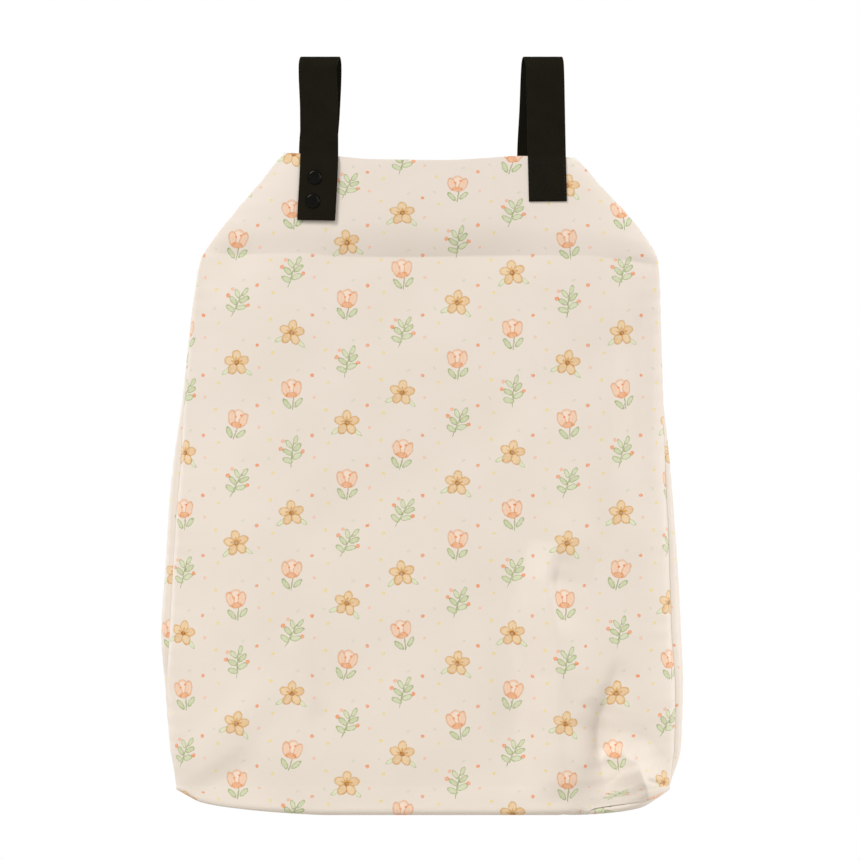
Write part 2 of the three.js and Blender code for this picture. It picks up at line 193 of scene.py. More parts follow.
# %% Sizes and sections
BODY_HEIGHT = 660.0
HALF_WIDTH = 262.0
HALF_DEPTH = 42.0
RIM_Z = -94.0
RIM_SAG = 8.5
RIM_SAG_REACH = 70.0
BASE_ROUND = 27.0
BASE_EDGE_RADIUS = 6.0
BASE_GIRTH = BASE_ROUND + 0.8 * HALF_DEPTH  # mm from the foot of the wall to the middle of the bottom
CORNER_LIFT = 22.0
SEAM_LAP = 8.0
SEAM_PINCH = 2.4
SEAM_PINCH_REACH = 5.0
BOTTOM_PINCH = 0.35  # of SEAM_PINCH
SEAM_CALM = 0.12  # share of a quarter turn in which folds and waves fade out towards a side seam
SIDE_CROWDING = 1.15
FOLD_HEIGHT = 10.0
FOLD_REACH = 60.0

SECTIONS = {
    "down": [0, 0.01, 0.04, 0.142, 0.162, 0.19, 0.38, 0.51, 0.63, 0.73, 0.8, 0.9, 0.959],
    "left": [0.545, 0.575, 0.644, 0.853, 0.882, 0.897, 0.948, 0.988, 1.008, 1.024, 1.012, 0.995, 0.967],
    "right": [0.540, 0.576, 0.646, 0.85, 0.875, 0.882, 0.897, 0.922, 0.944, 0.957, 0.964, 0.956, 0.914],
    "front": [0.46, 0.48, 0.52, 0.6, 0.62, 0.65, 0.8, 0.91, 0.98, 1.0, 1.0, 0.96, 0.9],
    "back": [0.46, 0.47, 0.5, 0.58, 0.6, 0.63, 0.78, 0.9, 0.97, 1.0, 1.0, 0.96, 0.9],
    "square": [2.0, 2.1, 2.3, 3.0, 3.2, 3.4, 4.4, 5.0, 5.4, 5.6, 5.7, 5.8, 6.0],
    "left_lap": [0, 0, 0, 0, 0, 0, 0.1, 0.72, 0.8, 0.75, 0.1, 0, 0],
    "right_lap": [0, 0, 0, 0, 0, 0, 0, 0.5, 0.8, 1.0, 0.9, 0.6, 0],
}
RIM = {"across": [-1, -0.65, -0.4, 0.1, 0.39, 0.6, 1], "drop": [0, 0.5, 0.88, 1, 0.75, 0.5, 0.6]}
BASE = {
    "across": [-1, -0.963, -0.9, -0.775, -0.54, -0.4, 0.6, 0.776, 0.876, 0.926, 1],
    "lift": [1.05, 0.84, 0.50, 0.26, 0.02, -0.05, -0.05, 0.07, 0.25, 0.52, 1.05],
}
# how far the seam under the bag has crept to the front: 0 is under the middle, 1 the front wall's foot
BOTTOM_SEAM = {
    "across": [-1, 0.5, 0.56, 0.60, 0.68, 0.74, 0.83, 0.905, 0.955, 1],
    "crept": [0, 0, 0.52, 0.635, 0.665, 0.67, 0.63, 0.575, 0.30, 0],
}


def along(table, key, column, place):
    """A column's value at places along a table, on a smooth curve that doesn't overshoot its rows."""
    x = np.asarray(table[key], float)
    y = np.asarray(table[column], float)
    place = np.clip(np.asarray(place, float), x[0], x[-1])
    slopes = np.diff(y) / np.diff(x)
    tangents = np.empty_like(y)
    tangents[0], tangents[-1] = slopes[0], slopes[-1]
    before, after = slopes[:-1], slopes[1:]
    same_way = before * after > 0
    tangents[1:-1] = np.where(same_way, 2 * before * after / np.where(same_way, before + after, 1), 0)
    i = np.clip(np.searchsorted(x, place, side="right") - 1, 0, len(x) - 2)
    step = x[i + 1] - x[i]
    s = (place - x[i]) / step
    return (y[i] * (1 + 2 * s) * (1 - s) ** 2 + y[i + 1] * s * s * (3 - 2 * s)
            + step * s * (1 - s) * (tangents[i] * (1 - s) - tangents[i + 1] * s))


def smooth(low, high, x):
    s = np.clip((x - low) / (high - low), 0, 1)
    return s * s * (3 - 2 * s)


print("widest at", round(float(max(SECTIONS["left"])) * HALF_WIDTH), "mm left of the middle")

# %% [markdown]
# A place on the pouch needs two numbers: how far round it goes and how far down. `turn` is 0 at the
# middle of the front, 1 at the right side and 2 at the middle of the back, with minus signs to the left.
# `girth` is 0 at the rim, 1 where the base starts to turn under, and 2 at the middle of the bottom. The
# base is boxed: the wall runs straight down, turns on a small radius and then lies flat.

# %% A point on the skin
WALL_LENGTH = BODY_HEIGHT - BASE_ROUND
BASE_FROM = WALL_LENGTH / BODY_HEIGHT
FLAT_STATIONS = 2 / SIDE_CROWDING - 1
CROWDED_RATE = SIDE_CROWDING / (2 * (1 - FLAT_STATIONS))


def share_at(station):
    return np.where(station <= FLAT_STATIONS, SIDE_CROWDING * station, 1 - CROWDED_RATE * (1 - station) ** 2)


def station_at(share):
    crowded = 1 - np.sqrt(np.maximum(0, 1 - share) / CROWDED_RATE)
    return np.where(share <= SIDE_CROWDING * FLAT_STATIONS, share / SIDE_CROWDING, crowded)


def side_value(hand, down, left, right):
    return np.where(hand > 0, along(SECTIONS, "down", right, down), along(SECTIONS, "down", left, down))


def rim_drop(share, down):
    return RIM_SAG * along(RIM, "across", "drop", share) * (1 - smooth(0, RIM_SAG_REACH, down * BODY_HEIGHT))


def round_the_pouch(turn):
    """The turn within one round, -1 or 1 for left or right, if it is in front, and how far across it lies."""
    turn = np.where(np.abs(turn) > 2, turn - 4 * np.sign(turn), turn)
    in_front = np.abs(turn) <= 1
    share = share_at(np.where(in_front, np.abs(turn), 2 - np.abs(turn)))
    return turn, np.where(turn < 0, -1.0, 1.0), in_front, share


def skin_point(turn, girth):
    """A place on the smooth pouch, without its folds."""
    turn, hand, in_front, share = round_the_pouch(turn)
    down = np.clip(girth, 0, 1) * BASE_FROM
    section = np.sqrt(np.maximum(0, 1 - share ** along(SECTIONS, "down", "square", down)))
    depth = np.where(in_front, along(SECTIONS, "down", "front", down), along(SECTIONS, "down", "back", down))
    depth = depth * HALF_DEPTH * section
    height = BASE_ROUND - CORNER_LIFT * along(BASE, "across", "lift", hand * share)
    radius = np.minimum(BASE_EDGE_RADIUS, 0.9 * np.minimum(depth, height)) + 1e-6
    straight, bend = height - radius, radius * math.pi / 2
    gone = (1 - np.abs(1 - np.maximum(0, girth - 1))) * (straight + bend + depth - radius)
    angle = np.clip((gone - straight) / radius, 0, math.pi / 2)
    turned = np.minimum(gone, straight) + radius * np.sin(angle)
    out = depth - radius * (1 - np.cos(angle)) - np.maximum(0, gone - straight - bend)
    facing = np.where(in_front == (girth <= 2), -1.0, 1.0)
    return np.stack([
        hand * share * side_value(hand, down, "left", "right") * HALF_WIDTH,
        facing * out,
        RIM_Z - down * BODY_HEIGHT - turned - rim_drop(hand * share, down),
    ], axis=-1)


def unit(vectors, spare):
    """Vectors at length 1, and the spare one where a place has no direction of its own."""
    size = np.linalg.norm(vectors, axis=-1, keepdims=True)
    return np.where(size > 1e-6, vectors / np.maximum(size, 1e-6), spare)


def directions(surface, turn, girth):
    """The outward normal, and the ways round the bag and down it, along the surface."""
    step = 1e-3
    round_the_bag = surface(turn + step, girth) - surface(turn - step, girth)
    down_the_bag = surface(turn, girth + step) - surface(turn, np.maximum(0, girth - step))
    normal = unit(np.cross(down_the_bag, round_the_bag), (0.0, 0.0, -1.0))
    return normal, unit(round_the_bag, (0.0, 0.0, 0.0)), unit(down_the_bag, (0.0, 0.0, 0.0))


def seam_turn(hand, girth):
    down = np.clip(girth, 0, 1) * BASE_FROM
    lap = side_value(hand, down, "left_lap", "right_lap") * SEAM_LAP
    return station_at(1 - lap / (side_value(hand, down, "left", "right") * HALF_WIDTH))


print("front middle, halfway down:", np.round(skin_point(np.array(0.0), np.array(0.5)), 1))

# %% [markdown]
# ## The folds
#
# Every fold in the photograph is a line of stations with a height, a reach to either side and a
# sharpness. The reach is how far the cloth takes to come back to its smooth shape. Sharpness 0 gives
# a round swell and 1 a crease with a kink along its line. The step under the mouth is where the
# turned-in facing ends. The crease at the lower right is where the boxed corner pushes the cloth
# forward, and the lobe beside it lies over its edge.

# %% Fold tables
# across and down as shares of the bag, reach to the left and to the right of someone who walks along the
# rows, height, sharpness. Reach and height are shares of FOLD_REACH and FOLD_HEIGHT.
FRONT_FOLDS = {"facing_edge": [
    (0.95, 0.176, 0.8, 0.3, 0, 0.4),
    (0.8, 0.168, 1.0, 0.4, -0.5, 0.7),
    (0.62, 0.158, 1.5, 0.46, -0.32, 0.7),
    (0.47, 0.157, 1.8, 0.5, -0.42, 0.8),
    (0.2, 0.158, 2.0, 0.58, -0.64, 0.95),
    (-0.1, 0.16, 2.0, 0.6, -0.68, 0.95),
    (-0.34, 0.159, 1.8, 0.56, -0.52, 0.9),
    (-0.47, 0.154, 1.4, 0.46, -0.34, 0.6),
    (-0.6, 0.154, 1.2, 0.42, -0.34, 0.6),
    (-0.74, 0.156, 1.0, 0.4, -0.55, 0.7),
    (-0.9, 0.15, 0.8, 0.3, 0, 0.4),
], "long_ridge": [
    (0.36, 0.21, 0.9, 0.9, 0, 0),
    (0.38, 0.33, 0.9, 0.65, 0.16, 0),
    (0.385, 0.45, 0.85, 0.6, 0.32, 0),
    (0.45, 0.527, 0.8, 0.55, 0.56, 0.1),
    (0.495, 0.588, 0.8, 0.54, 0.85, 0.2),
    (0.45, 0.648, 0.8, 0.52, 1.0, 0.25),
    (0.465, 0.69, 0.8, 0.54, 1.05, 0.2),
    (0.485, 0.735, 0.8, 0.58, 1.1, 0.2),
    (0.5, 0.79, 0.8, 0.6, 1.15, 0.2),
    (0.485, 0.848, 0.85, 0.6, 1.15, 0.2),
    (0.49, 0.9, 0.85, 0.62, 1.0, 0.1),
    (0.5, 0.945, 0.8, 0.62, 0.8, 0),
    (0.5, 0.985, 0.7, 0.7, 0.25, 0),
], "dimple": [
    (0.515, 0.6, 0.4, 0.2, 0, 0.2),
    (0.49, 0.625, 0.42, 0.18, -0.3, 0.3),
    (0.475, 0.648, 0.45, 0.15, -0.62, 0.4),
    (0.495, 0.685, 0.45, 0.18, -0.42, 0.3),
    (0.53, 0.735, 0.4, 0.25, 0, 0),
], "valley": [
    (0.31, 0.62, 0.2, 0.5, 0, 0),
    (0.30, 0.72, 0.22, 0.5, -0.20, 0.2),
    (0.325, 0.84, 0.22, 0.5, -0.26, 0.2),
    (0.32, 0.95, 0.25, 0.45, -0.1, 0),
], "corner_crease": [
    (0.72, 0.76, 0.3, 0.16, 0, 0),
    (0.695, 0.8, 0.55, 0.2, -0.38, 0.5),
    (0.67, 0.825, 0.7, 0.28, -0.55, 0.6),
    (0.645, 0.85, 0.85, 0.46, -1.0, 0.7),
    (0.634, 0.875, 0.95, 0.58, -1.35, 0.75),
    (0.638, 0.9, 0.95, 0.6, -1.3, 0.75),
    (0.65, 0.923, 0.8, 0.6, -0.9, 0.6),
    (0.66, 0.95, 0.7, 0.6, -0.45, 0.3),
    (0.67, 0.975, 0.6, 0.6, -0.2, 0.2),
    (0.68, 1.01, 0.5, 0.5, 0, 0),
], "corner_lobe": [
    (0.67, 0.895, 0.3, 0.3, 0, 0.3),
    (0.695, 0.903, 0.4, 0.46, 0.26, 0.6),
    (0.735, 0.91, 0.44, 0.58, 0.62, 0.8),
    (0.782, 0.923, 0.46, 0.64, 1.25, 0.85),
    (0.797, 0.937, 0.5, 0.64, 1.6, 0.9),
    (0.812, 0.951, 0.5, 0.58, 1.6, 0.9),
    (0.826, 0.966, 0.5, 0.48, 1.1, 0.7),
    (0.84, 0.99, 0.4, 0.4, 0, 0.3),
], "corner_puff": [
    (0.82, 0.94, 0.5, 0.35, 0, 0.3),
    (0.85, 0.9475, 0.56, 0.4, 0.35, 0.5),
    (0.88, 0.9515, 0.58, 0.4, 0.6, 0.5),
    (0.915, 0.954, 0.56, 0.36, 0.5, 0.5),
    (0.965, 0.955, 0.5, 0.25, 0, 0.3),
], "corner_seam": [
    (0.815, 0.946, 0.06, 0.06, 0, 1.0),
    (0.830, 0.950, 0.07, 0.09, -0.20, 1.0),
    (0.847, 0.9525, 0.07, 0.09, -0.26, 1.0),
    (0.87, 0.9545, 0.07, 0.09, -0.26, 1.0),
    (0.915, 0.957, 0.07, 0.09, -0.18, 1.0),
    (0.94, 0.958, 0.07, 0.09, 0, 1.0),
], "low_left_ridge": [
    (-0.56, 0.71, 0.5, 0.30, 0, 0),
    (-0.52, 0.76, 0.4, 0.22, 0.28, 0.2),
    (-0.46, 0.82, 0.32, 0.22, 0.32, 0.2),
    (-0.42, 0.86, 0.4, 0.4, 0, 0),
], "left_corner_trough": [
    (-0.62, 0.905, 1.0, 0.4, 0, 0),
    (-0.73, 0.936, 1.4, 0.38, -0.44, 0.3),
    (-0.81, 0.953, 1.4, 0.36, -0.46, 0.3),
    (-0.88, 0.972, 1.4, 0.36, -0.36, 0.2),
    (-0.94, 0.99, 1.0, 0.35, 0, 0),
], "left_corner_rise": [
    (-0.56, 0.79, 0.5, 0.5, 0, 0),
    (-0.74, 0.865, 0.5, 0.45, 0.22, 0),
    (-0.9, 0.92, 0.4, 0.4, 0.12, 0),
], "left_swell": [
    (-0.60, 0.42, 0.9, 0.9, 0, 0),
    (-0.62, 0.58, 0.9, 0.9, 0.16, 0),
    (-0.66, 0.72, 0.9, 0.9, 0, 0),
], "right_tuck": [
    (0.80, 0.17, 0.5, 0.4, 0, 0),
    (0.792, 0.27, 0.30, 0.44, -0.40, 0.1),
    (0.785, 0.44, 0.32, 0.48, -0.42, 0.1),
    (0.77, 0.60, 0.5, 0.5, 0, 0),
], "strap_press": [
    (-0.353, 0.06, 0.10, 0.10, 0, 0.5),
    (-0.353, 0.085, 0.10, 0.12, -0.13, 0.8),
    (-0.356, 0.112, 0.10, 0.12, -0.10, 0.8),
    (-0.37, 0.128, 0.10, 0.10, 0, 0.5),
]}
BACK_FOLDS = {"left_slack": [
    (-0.4, 0.1, 0.8, 0.8, 0, 0),
    (-0.46, 0.45, 0.9, 0.9, 0.35, 0),
    (-0.56, 0.86, 0.9, 0.9, 0, 0),
], "right_slack": [
    (0.38, 0.12, 0.8, 0.8, 0, 0),
    (0.44, 0.55, 0.9, 0.9, 0.45, 0),
    (0.5, 0.92, 0.9, 0.9, 0, 0),
], "facing_edge": [
    (-0.60, 0.150, 0.35, 0.9, 0, 0.4),
    (-0.2, 0.158, 0.45, 1.2, -0.28, 0.8),
    (0.25, 0.156, 0.45, 1.2, -0.24, 0.8),
    (0.60, 0.150, 0.35, 0.9, 0, 0.4),
], "left_corner": [
    (-0.60, 0.86, 0.4, 0.5, 0, 0),
    (-0.76, 0.92, 0.35, 0.45, -0.45, 0.3),
    (-0.88, 0.955, 0.3, 0.35, -0.40, 0.2),
], "right_corner": [
    (0.58, 0.85, 0.5, 0.4, 0, 0),
    (0.72, 0.915, 0.45, 0.35, -0.45, 0.3),
    (0.84, 0.95, 0.35, 0.3, -0.40, 0.2),
]}


def fold_height(folds, x, z):
    """The height of all the folds at places on the cloth, in mm."""
    total = np.zeros_like(x)
    for stations in folds.values():
        nearest = np.full_like(x, np.inf)
        rise = np.zeros_like(x)
        for a, b in zip(stations, stations[1:]):
            ax, az = a[0] * HALF_WIDTH, RIM_Z - a[1] * BODY_HEIGHT
            bx, bz = b[0] * HALF_WIDTH - ax, RIM_Z - b[1] * BODY_HEIGHT - az
            s = np.clip(((x - ax) * bx + (z - az) * bz) / (bx * bx + bz * bz), 0, 1)
            away = np.hypot(x - ax - s * bx, z - az - s * bz)
            t = s * s * (3 - 2 * s)
            on_left = bx * (z - az) > bz * (x - ax)
            reach = np.where(on_left, a[2] + (b[2] - a[2]) * t, a[3] + (b[3] - a[3]) * t) * FOLD_REACH
            height, sharp = (a[i] + (b[i] - a[i]) * t for i in (4, 5))
            far = np.clip(away / reach, 0, 1)
            shape = (1 - sharp) * (1 - far ** 2) ** 2 + sharp * (1 - far) ** 2
            rise = np.where(away < nearest, height * FOLD_HEIGHT * shape, rise)
            nearest = np.minimum(nearest, away)
        total += rise
    return total


crease = fold_height(FRONT_FOLDS, np.array([171.0]), np.array([-673.0]))
print("deepest at the crease:", round(float(crease[0]), 1), "mm")

# %% [markdown]
# Real cloth is never quite smooth between its folds. A few long waves with unrelated directions and
# lengths, less than a millimetre high, are enough to break up the highlights. Next to a sewn seam the
# stitches draw the cloth up, so short puckers run square to the seam and die out a few centimetres away.

# %% Waves and puckers
WAVES = [
    # length in mm, direction in degrees, height in mm, phase
    (190, 75, 0.55, 0.4),
    (140, -58, 0.40, 2.1),
    (96, 12, 0.28, 1.2),
    (71, 121, 0.18, 4.0),
]
PUCKER_LENGTH = 17.0
PUCKER_HEIGHT = 0.3
PUCKER_REACH = 24.0


def waves(x, z):
    total = np.zeros_like(x)
    for length, direction, height, phase in WAVES:
        angle = math.radians(direction)
        total += height * np.sin(2 * math.pi * (x * math.cos(angle) + z * math.sin(angle)) / length + phase)
    return total


def puckers(from_seam, along_seam):
    beat = np.sin(2 * math.pi * along_seam / PUCKER_LENGTH)
    beat *= 0.6 + 0.4 * np.sin(2 * math.pi * along_seam / 83 + 1)
    return PUCKER_HEIGHT * beat * np.exp(-(from_seam / PUCKER_REACH) ** 2) * smooth(0, 5, from_seam)


def bottom_seam_girth(hand_share):
    return 2 - along(BOTTOM_SEAM, "across", "crept", hand_share)


def cloth_point(turn, girth):
    """The middle of the finished cloth: the skin with its folds, waves, puckers and pinched seams."""
    point = skin_point(turn, girth)
    turn, hand, in_front, share = round_the_pouch(turn)
    in_base = 1 - np.abs(1 - np.maximum(0, girth - 1))
    normal = directions(skin_point, turn, girth)[0]
    x, z = point[..., 0], point[..., 2]
    looks_forward = in_front == (girth <= 2)
    folds = np.where(looks_forward, fold_height(FRONT_FOLDS, x, z), fold_height(BACK_FOLDS, x, z))
    edge_fade = smooth(0, SEAM_CALM, np.abs(np.abs(turn) - 1))
    from_side = np.linalg.norm(skin_point(hand * seam_turn(hand, girth), girth) - point, axis=-1)
    place = np.where(in_front, girth, 4 - girth)
    from_bottom = np.abs(place - bottom_seam_girth(hand * share)) * BASE_GIRTH
    side_fade = smooth(0, 0.05, girth) * (1 - smooth(0.955, 1.0, girth))
    # folds push the cloth only forward or back, so that they never move the bag's outline
    point = point + normal * (0.0, 1.0, 0.0) * (folds * edge_fade)[..., None]
    rise = waves(x, z) * smooth(0, 0.12, girth) * edge_fade * (1 - smooth(0, 0.4, in_base))
    rise += puckers(from_side, z) * side_fade
    rise -= SEAM_PINCH * np.exp(-(from_side / SEAM_PINCH_REACH) ** 2) * side_fade
    bottom_pinch = BOTTOM_PINCH * SEAM_PINCH * np.exp(-(from_bottom / SEAM_PINCH_REACH) ** 2)
    rise -= bottom_pinch * smooth(0, 14, from_side)
    return point + normal * rise[..., None]


print("the seam under the bag creeps to girth", round(float(bottom_seam_girth(0.75)), 2))

# %% [markdown]
# ## The two panels
#
# Each panel starts as a flat grid from `create_grid`, as it would from the cutting table, and every vertex
# is carried to its place on the pouch. The rows begin at the lower edge of the facing, the strip of cloth
# that is turned in at the mouth. They run up inside the bag, over the hem and down the outside to the seam
# under the base. The outermost columns and the last rows are the seam allowance, which lies inside the
# bag. The grid is finer where the cloth creases. Its UV map holds real millimetres on the flat
# cloth, so that the print follows every fold.

# %% How the grid lines are spaced
FACING = 100.0
HEM_RADIUS = 1.1
ALLOWANCE = [1.0, 2.5, 4.5, 7.0]
CORNER_ALLOWANCE = 0.15  # share of the allowance's depth that is left at the lower corners
CLOTH_THICK = 0.9
HEM_RISE = HEM_RADIUS + CLOTH_THICK / 2
BASE_ARC = 61.0
CLOTH_RUN = WALL_LENGTH + BASE_ARC

# mm down from the rim (below 0 up inside the bag) or across it, and the mm to the next line there
FRONT_ROWS = [
    (-FACING, 9), (-12, 6), (-4, 0.7), (0, 0.5), (3, 0.7), (10, 2.6), (88, 3.0), (98, 1.1), (108, 1.1),
    (118, 3.4), (300, 4.2), (420, 3.2), (560, 2.4), (585, 1.7), (640, 1.7), (655, 1.5), (CLOTH_RUN, 2.4),
]
FRONT_COLUMNS = [
    (-262, 1.6), (-240, 3.4), (-60, 4.2), (80, 4.0), (110, 2.8), (150, 2.6), (165, 1.7), (235, 1.7),
    (262, 1.6),
]
BACK_ROWS = [
    (-FACING, 9), (-12, 6), (-4, 0.7), (0, 0.5), (3, 0.7), (10, 3.2), (98, 1.6), (108, 1.6), (120, 4.4),
    (560, 4.0), (640, 2.8), (CLOTH_RUN, 3.0),
]
BACK_COLUMNS = [(-262, 1.8), (-235, 4.4), (235, 4.4), (262, 1.8)]


def spaced(table):
    """Places along a table of (place, spacing), stepping by the spacing that the table gives there."""
    places, steps = np.array(table, float).T
    fine = np.linspace(places[0], places[-1], 8000)
    density = 1 / np.interp(fine, places, steps)
    total = np.concatenate([[0], np.cumsum((density[1:] + density[:-1]) / 2 * np.diff(fine))])
    return np.interp(np.linspace(0, total[-1], round(total[-1]) + 1), total, fine)


print("front grid:", len(spaced(FRONT_COLUMNS)), "columns,", len(spaced(FRONT_ROWS)), "rows")


# %% Where a grid vertex goes
def panel_surface(side, across, run):
    """across is -1 to 1 between the side seams and mm of allowance beyond them; run is mm down."""
    facing = -1 if side == "front" else 1
    hand = np.where(across < 0, -1.0, 1.0) * -facing
    share = np.clip(np.abs(across), 0, 1)
    past_side = np.maximum(0, np.abs(across) - 1)
    past_end = np.maximum(0, run - CLOTH_RUN)
    run = np.minimum(run, CLOTH_RUN)
    end = bottom_seam_girth(hand * share)
    end = end if side == "front" else 4 - end
    outside = HEM_RISE + np.abs(run) * (1 - HEM_RISE / WALL_LENGTH)
    in_base = np.clip((outside - WALL_LENGTH) / BASE_ARC, 0, 1)
    girth = np.where(outside < WALL_LENGTH, outside / WALL_LENGTH, 1 + in_base * (end - 1))
    edge = seam_turn(hand, girth)
    turn = hand * share * edge if side == "front" else hand * (2 - share * (2 - edge))
    point = cloth_point(turn, girth)
    normal, round_the_bag, down_the_bag = directions(cloth_point, turn, girth)

    # over the hem on a half circle, then down inside
    angle = np.clip(-run / HEM_RADIUS, 0, math.pi)
    point = point - normal * (HEM_RADIUS * (1 - np.cos(angle)))[..., None]
    point[..., 2] += HEM_RADIUS * np.sin(angle) + HEM_RADIUS * angle

    # each panel stops short of the seam by half its thickness, and its allowance turns inwards there
    back_off = CLOTH_THICK / 2 + 0.05
    outward = round_the_bag * (hand * -facing)[..., None]
    point = point - outward * np.where(share > 0.999, back_off, 0)[..., None]
    point = point - down_the_bag * np.where(run >= CLOTH_RUN, back_off, 0)[..., None]
    tucked = past_side * (CORNER_ALLOWANCE + (1 - CORNER_ALLOWANCE) * smooth(0, 40, CLOTH_RUN - run))
    tucked += past_end * (CORNER_ALLOWANCE + (1 - CORNER_ALLOWANCE) * smooth(0, 0.12, 1 - share))
    return point - normal * tucked[..., None]


# %% Build a panel
def build_panel(name, side, column_table, row_table, material):
    columns_mm = spaced(column_table)
    beyond = np.array(ALLOWANCE)
    across = np.concatenate([-1 - beyond[::-1], columns_mm / np.abs(columns_mm).max(), 1 + beyond])
    run = np.concatenate([spaced(row_table), CLOTH_RUN + beyond])
    points = panel_surface(side, *np.meshgrid(across, run))
    flat_u = np.cumsum(np.linalg.norm(np.diff(points, axis=1, prepend=points[:, :1]), axis=-1), axis=1)
    flat_u -= flat_u[:, [int(np.argmin(np.abs(across)))]]
    columns, rows = len(across) - 1, len(run) - 1
    bm = bmesh.new()
    bmesh.ops.create_grid(bm, x_segments=columns, y_segments=rows, size=1)
    uv_layer = bm.loops.layers.uv.new("cloth_mm")
    place = {v: (round((v.co.x + 1) / 2 * columns), round((1 - v.co.y) / 2 * rows)) for v in bm.verts}
    for vertex, (i, j) in place.items():
        vertex.co = Vector(points[j, i]) * MM
    for face in bm.faces:
        for loop in face.loops:
            i, j = place[loop.vert]
            loop[uv_layer].uv = (flat_u[j, i], -run[j])
    extra = len(beyond)
    corners = [v for v, (i, j) in place.items() if j > rows - extra and (i < extra or i > columns - extra)]
    bmesh.ops.delete(bm, geom=corners, context="VERTS")
    piece = add_object(name, bm, material)
    cut = points[:-extra]
    halves = [np.cross(cut[1:, :-1] - cut[:-1, :-1], cut[1:, 1:] - cut[:-1, :-1]),
              np.cross(cut[1:, 1:] - cut[:-1, :-1], cut[:-1, 1:] - cut[:-1, :-1])]
    area = sum(np.linalg.norm(half, axis=-1).sum() for half in halves) / 2 * MM * MM
    width = float(np.ptp(flat_u, axis=1).max())
    print(name, "is", round(width), "mm at its widest, laid flat, and", round(area, 3), "square metres")
    return piece, width, area


# %% [markdown]
# ## The printed cloth
#
# The outside is a smooth polyester knit with a laminated back. It carries a small printed pattern in a
# half-drop layout: every other column of the pattern sits half a repeat lower, which hides the grid from
# the eye. The three motifs are plain garden ones, a five-petalled blossom, a sprig with berries and a
# bell-shaped bud. Each is a short table of dabs, and a dab is one ellipse of watercolour: paler inside,
# darker towards its edge, where the pigment of a wet stroke gathers.

# %% The motifs, in mm
# x, y, half length, half width, degrees, inner colour, edge colour
BLOSSOM = [
    (-9.6, -7.2, 5.6, 2.1, 35, "#DCE0BF", "#B5BF8C"),
    (9.4, -8.4, 5.2, 2.0, -40, "#DCE0BF", "#B5BF8C"),
    (0.0, 6.4, 5.6, 4.3, 90, "#EBCB9C", "#D6A562"),
    (-6.1, 2.0, 5.6, 4.3, 162, "#EBCB9C", "#D6A562"),
    (6.1, 2.0, 5.6, 4.3, 18, "#E6C190", "#D6A562"),
    (-3.8, -5.2, 5.6, 4.3, 234, "#E6C190", "#CF9A57"),
    (3.8, -5.2, 5.6, 4.3, 306, "#EBCB9C", "#CF9A57"),
    (0.0, 3.2, 2.6, 1.0, 90, "#D8A565", "#D8A565"),
    (-3.0, 1.0, 2.6, 1.0, 162, "#D8A565", "#D8A565"),
    (3.0, 1.0, 2.6, 1.0, 18, "#D8A565", "#D8A565"),
    (0.0, 0.0, 2.3, 2.2, 0, "#B9803C", "#9C6A30"),
]
SPRIG = [
    (0.4, -1.0, 14.0, 0.6, 72, "#A9B183", "#8A9862"),
    (-5.0, -5.8, 5.4, 2.7, 150, "#CDD4AC", "#A3AE78"),
    (4.4, -3.6, 5.6, 2.7, 20, "#D3D9B4", "#A3AE78"),
    (-3.6, 1.6, 5.2, 2.6, 138, "#C7CFA3", "#9AA66E"),
    (6.2, 3.8, 5.4, 2.5, 34, "#C7CFA3", "#9AA66E"),
    (-0.8, 8.4, 5.0, 2.3, 118, "#D3D9B4", "#A3AE78"),
    (6.2, 10.8, 4.8, 2.2, 62, "#CDD4AC", "#A3AE78"),
    (-8.8, 5.6, 2.0, 1.9, 0, "#F0A271", "#E67F42"),
    (10.2, -0.8, 1.9, 1.8, 0, "#F0A271", "#E67F42"),
    (-5.6, 12.0, 1.7, 1.6, 0, "#F5BC9A", "#ED9A70"),
]
BELL = [
    (1.0, -9.0, 6.6, 0.6, 84, "#A9B183", "#8A9862"),
    (-4.4, -9.4, 5.8, 2.4, 128, "#C7CFA3", "#98A56C"),
    (5.8, -8.4, 5.4, 2.3, 48, "#CDD4AC", "#98A56C"),
    (0.0, 4.8, 7.8, 6.2, 90, "#F5DBC6", "#E8B893"),
    (-5.0, 3.4, 7.4, 3.8, 104, "#F1CCAF", "#DFA478"),
    (5.0, 3.4, 7.4, 3.8, 76, "#F1CCAF", "#DFA478"),
    (0.0, -1.8, 5.0, 2.8, 0, "#EBB085", "#E0935C"),
    (-2.0, 5.0, 1.1, 1.0, 0, "#EB9259", "#E78048"),
    (2.2, 7.0, 1.1, 1.0, 0, "#EB9259", "#E78048"),
]
DOTS = [
    (20.5, 17.5, 1.9, 1.8, 0, "#F09C6C", "#EC8850"),
    (-21.0, 13.0, 1.8, 1.7, 0, "#EDDB96", "#E8D084"),
    (22.5, -4.5, 1.6, 1.5, 0, "#F5C6AE", "#F0B498"),
    (-18.5, -20.0, 1.7, 1.6, 0, "#EDDB96", "#E8D084"),
    (6.5, 22.5, 2.1, 1.1, 30, "#DBD8C3", "#D0CDB5"),
    (-22.5, -5.5, 1.9, 1.1, -40, "#DBD8C3", "#D0CDB5"),
]
CELL_WIDTH = 55.0
CELL_HEIGHT = 60.0
WOBBLE = 2.2
OUT_OF_CELL = 500.0
LEAN = math.radians(14)

# %% [markdown]
# The material first works out which cell of the pattern a point lies in, and where inside the cell.
# A motif is switched on by pushing the other two far out of their cells. A little noise wobbles
# the coordinates, so that no edge is a perfect curve, and each cell's motif is turned by a few degrees.

